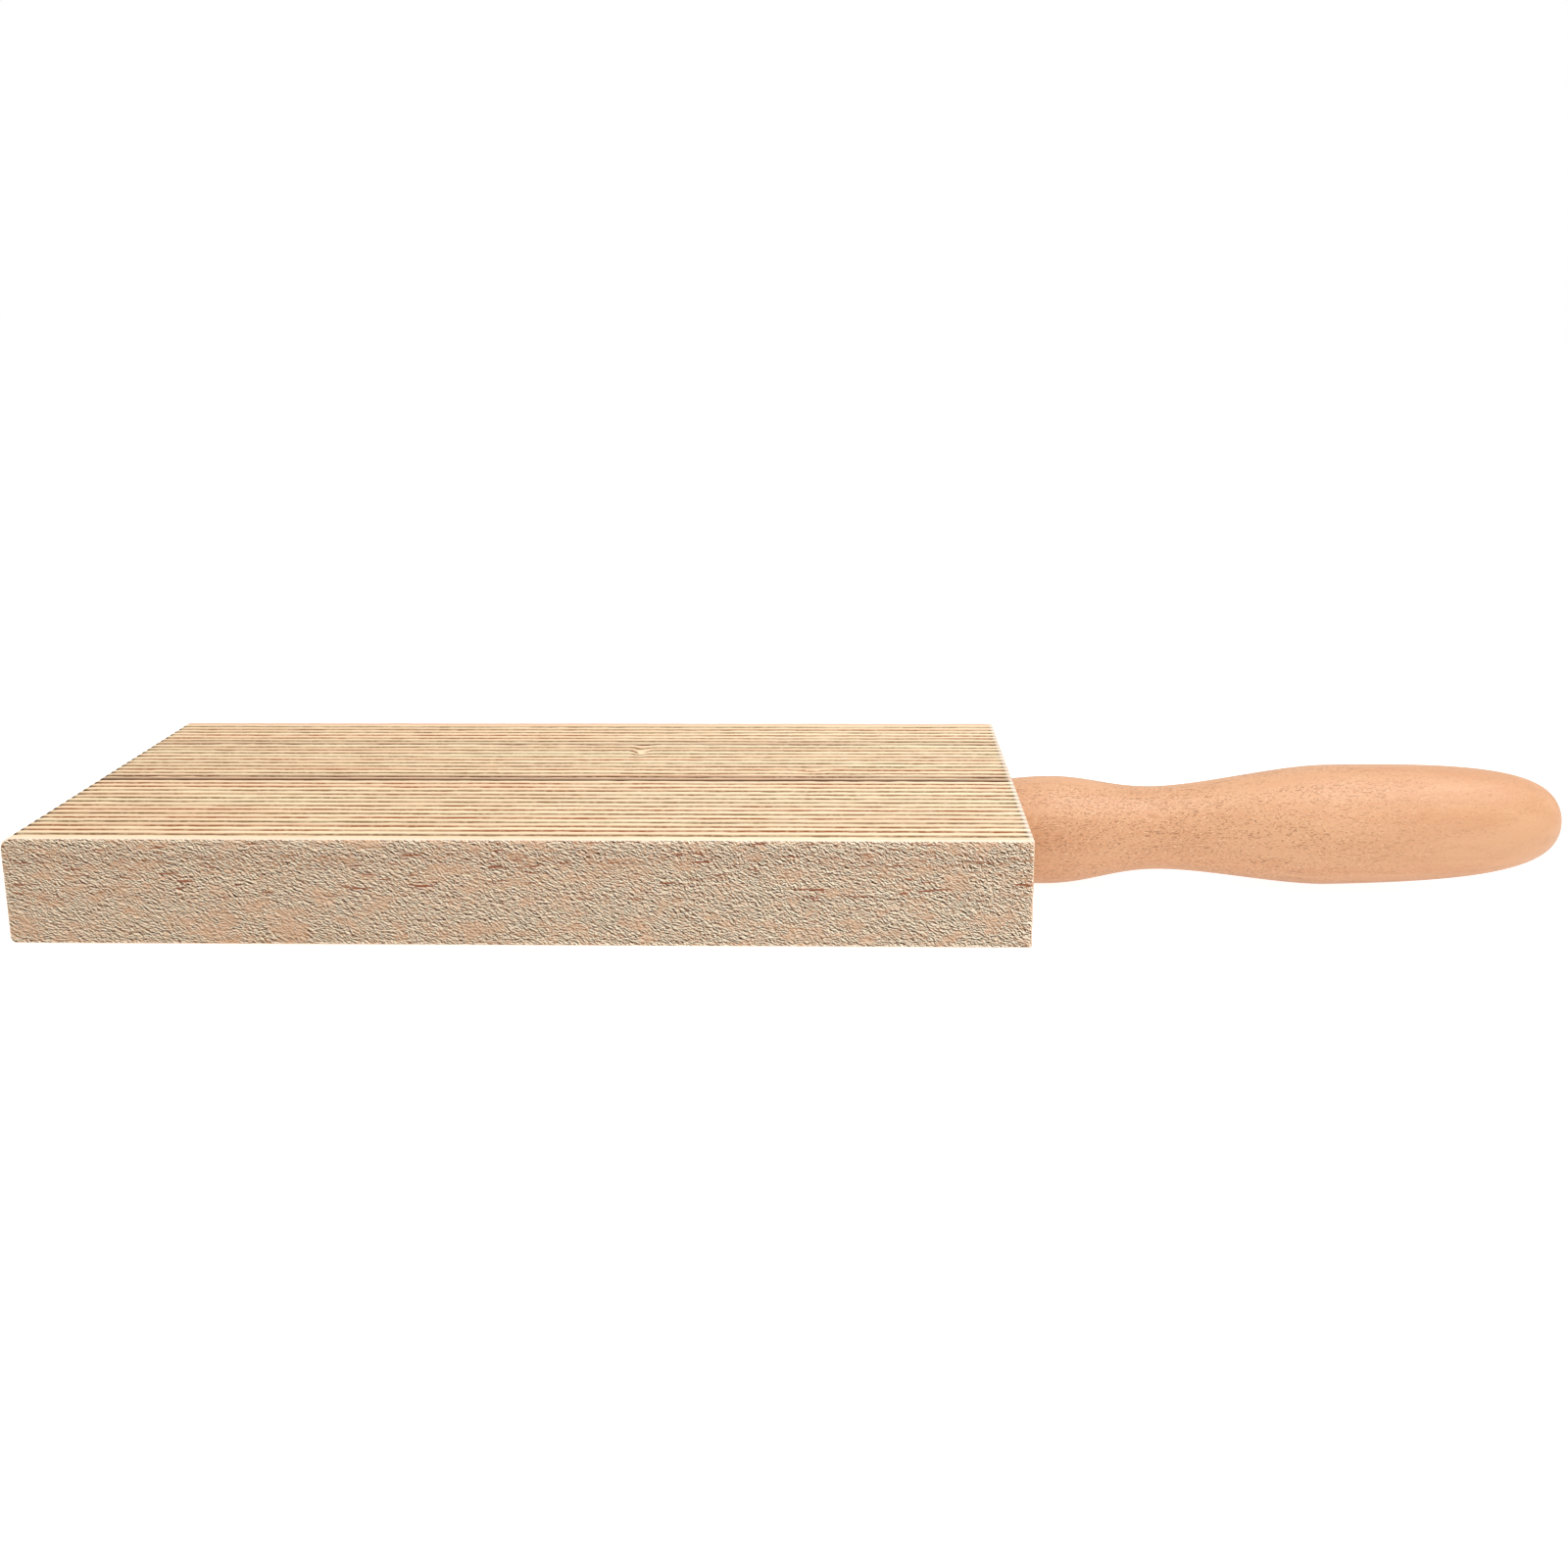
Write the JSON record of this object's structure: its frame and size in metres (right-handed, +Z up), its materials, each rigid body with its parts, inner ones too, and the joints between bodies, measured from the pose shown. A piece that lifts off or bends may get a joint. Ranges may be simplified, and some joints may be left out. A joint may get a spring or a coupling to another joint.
{
  "type": "gnocchi board",
  "caption": "Flat wooden board with straight parallel grooves in its top face and a turned handle at one end, for ridging small pasta or working butter.",
  "frame": {"origin": "centre of the board's flat underside", "axes": "+X along the board towards the handle, +Y across the grooves, +Z up out of the grooved face"},
  "size_m": [0.2071, 0.067, 0.0171],
  "materials": {
    "board_wood": "bare pale softwood: planed and grooved on top, rough-sawn on the long sides",
    "handle_wood": "bare fine-pored hardwood, turned and sanded smooth, with a soft sheen"
  },
  "bodies": {
    "root": {"grooved_board": "board_wood", "turned_handle": "handle_wood"}
  },
  "joints": []
}
